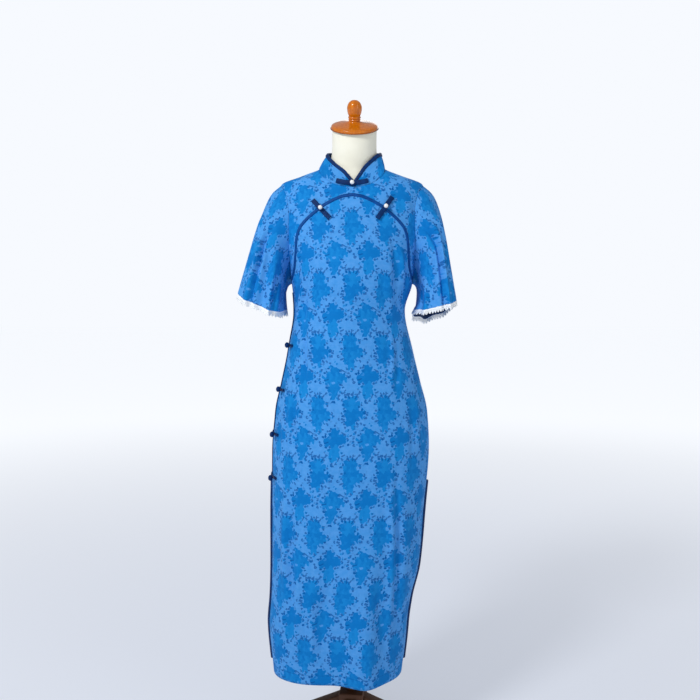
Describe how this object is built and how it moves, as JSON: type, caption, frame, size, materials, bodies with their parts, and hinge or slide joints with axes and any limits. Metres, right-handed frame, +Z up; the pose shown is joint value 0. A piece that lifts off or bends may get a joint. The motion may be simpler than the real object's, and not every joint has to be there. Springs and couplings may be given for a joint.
{
  "type": "cheongsam dress on a limbless dress form with stand",
  "caption": "Short-sleeved long cheongsam with arched front opening, stand collar, frogs and side slits, on a limbless dress form with a four-legged wooden stand.",
  "frame": {"origin": "on the floor, under the middle of the pole and the middle of the bounding box", "axes": "+Z up, -Y the dress's front, +X the wearer's left"},
  "size_m": [0.5522, 0.5522, 1.4802],
  "materials": {
    "cloth": "matt blue jacquard with darker blue roses",
    "navy_binding": "dark navy satin bias binding",
    "lace": "white scalloped cotton lace",
    "pearl": "white imitation pearl",
    "jersey": "cream jersey over the form",
    "lacquered_wood": "glossy orange-brown lacquer",
    "dark_wood": "dark brown stained wood"
  },
  "bodies": {
    "root": {"front": "cloth", "back": "cloth", "yoke": "cloth", "sleeve_left": "cloth", "sleeve_right": "cloth", "collar": "cloth", "collar_binding": "navy_binding", "arch_binding": "navy_binding", "side_binding": "navy_binding", "slit_binding_left_front": "navy_binding", "slit_binding_left_back": "navy_binding", "slit_binding_right_front": "navy_binding", "slit_binding_right_back": "navy_binding", "frog_collar": "navy_binding", "frog_left": "navy_binding", "frog_right": "navy_binding", "side_frog_1": "navy_binding", "side_frog_2": "navy_binding", "side_frog_3": "navy_binding", "side_frog_4": "navy_binding", "side_knot_1": "navy_binding", "side_knot_2": "navy_binding", "side_knot_3": "navy_binding", "side_knot_4": "navy_binding", "pearl_collar": "pearl", "pearl_left": "pearl", "pearl_right": "pearl", "lace_left": "lace", "lace_right": "lace", "form_torso": "jersey", "neck_cap": "lacquered_wood", "pole": "dark_wood", "hub": "dark_wood", "leg_1": "dark_wood", "leg_2": "dark_wood", "leg_3": "dark_wood", "leg_4": "dark_wood"}
  },
  "joints": []
}
